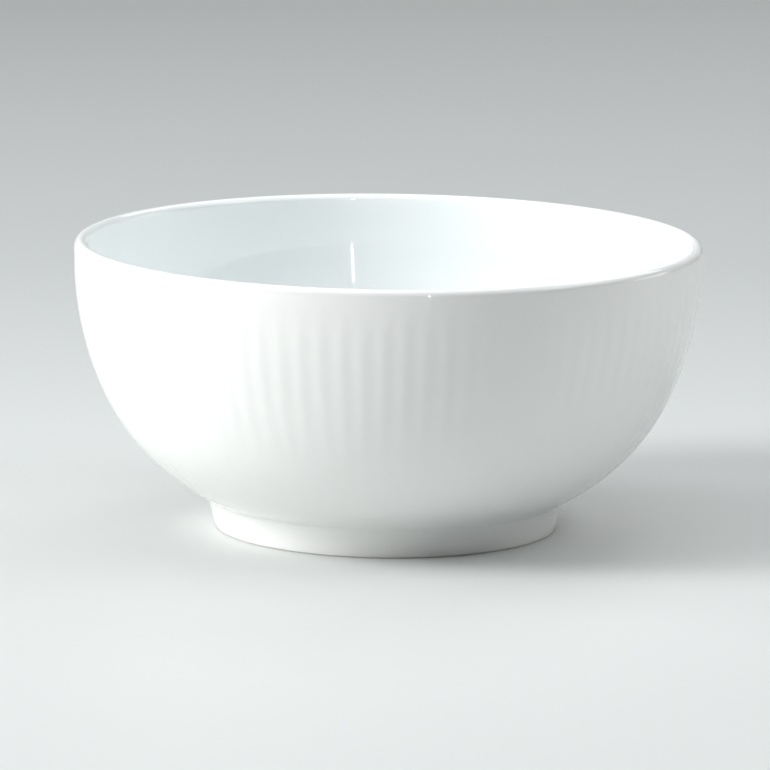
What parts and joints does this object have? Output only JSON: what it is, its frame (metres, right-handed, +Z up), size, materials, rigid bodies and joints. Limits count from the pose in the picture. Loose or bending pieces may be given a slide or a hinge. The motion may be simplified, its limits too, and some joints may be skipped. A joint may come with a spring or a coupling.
{
  "type": "serving bowl",
  "caption": "Round deep porcelain serving bowl with a rounded lip, steep curved wall and low foot ring, glazed all over but for the edge it stands on.",
  "frame": {"origin": "centre of the standing edge, on the surface that the bowl stands on", "axes": "+Z up along the bowl's axis of revolution, +X to the right and +Y away from the viewer"},
  "size_m": [0.21, 0.21, 0.0969],
  "materials": {
    "biscuit": "unglazed, ground smooth and matt",
    "glaze": "clear high gloss over white porcelain"
  },
  "bodies": {
    "root": {"vessel_body": "biscuit", "foot_ring": "biscuit", "glaze_coat": "glaze", "foot_well_glaze": "glaze"}
  },
  "joints": []
}
